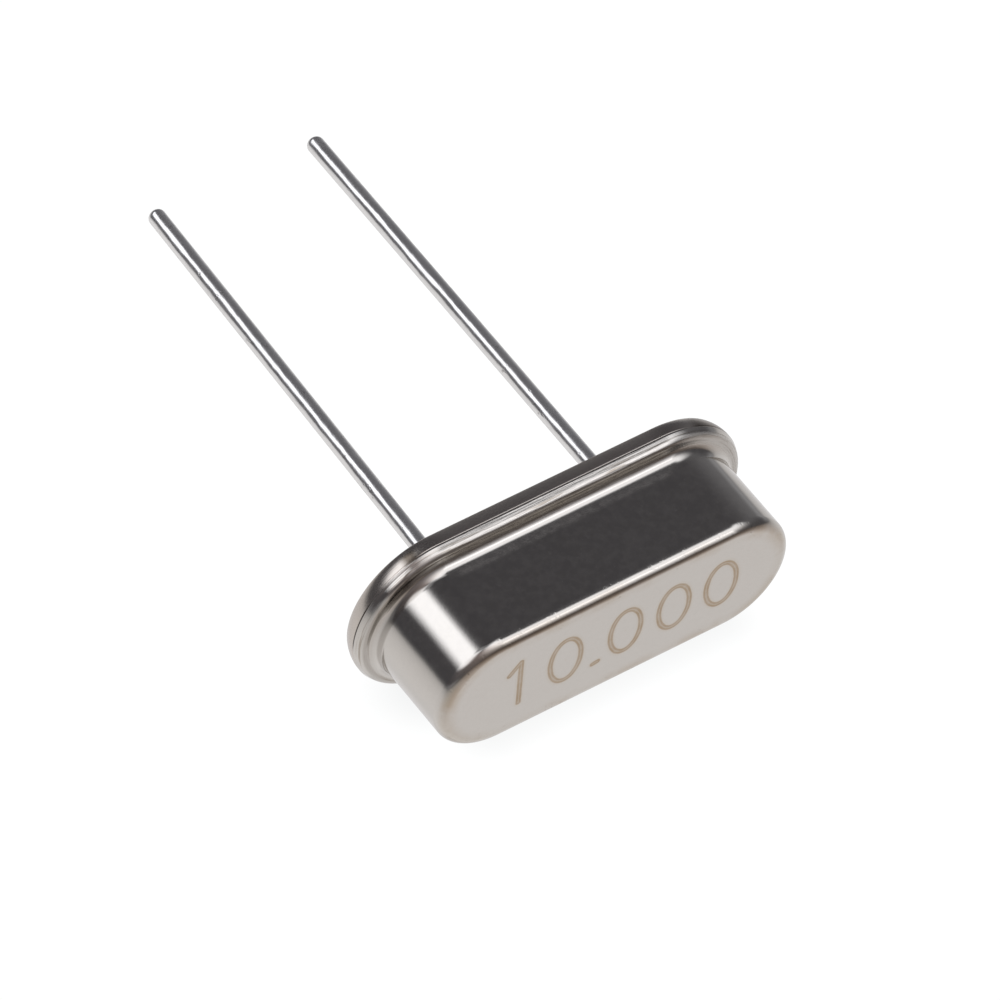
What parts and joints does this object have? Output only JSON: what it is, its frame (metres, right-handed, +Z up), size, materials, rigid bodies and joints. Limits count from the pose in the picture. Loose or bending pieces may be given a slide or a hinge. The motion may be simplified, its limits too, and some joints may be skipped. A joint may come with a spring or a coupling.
{
  "type": "crystal oscillator unit",
  "caption": "Quartz crystal unit in a low oblong metal can with a welded flange and two straight parallel wire leads, lying on its long side.",
  "frame": {"origin": "centre of the bounding box's bottom face, on the surface that the part lies on", "axes": "+Z up, +Y along the leads from the can towards their tips, X along the can's length; the left lead is at -X"},
  "size_m": [0.0108, 0.0166, 0.0052],
  "materials": {
    "cover": "nickel-plated drawn steel, satin bright, fine handling marks",
    "base": "nickel-plated stamped steel",
    "glass_seal_left": "dark sealing glass, glossy, dished",
    "glass_seal_right": "dark sealing glass, glossy, dished",
    "lead_left": "bright tinned iron-nickel-cobalt wire",
    "lead_right": "bright tinned iron-nickel-cobalt wire",
    "clip_left": "nickel-silver strip",
    "clip_right": "nickel-silver strip",
    "quartz_blank": "lapped quartz, fine matt, translucent",
    "electrode_top": "evaporated silver film",
    "electrode_bottom": "evaporated silver film",
    "adhesive_left": "silver-filled epoxy",
    "adhesive_right": "silver-filled epoxy"
  },
  "bodies": {
    "root": {"cover": "cover", "base": "base", "glass_seal_left": "glass_seal_left", "glass_seal_right": "glass_seal_right", "lead_left": "lead_left", "lead_right": "lead_right", "clip_left": "clip_left", "clip_right": "clip_right", "quartz_blank": "quartz_blank", "electrode_top": "electrode_top", "electrode_bottom": "electrode_bottom", "adhesive_left": "adhesive_left", "adhesive_right": "adhesive_right"}
  },
  "joints": []
}
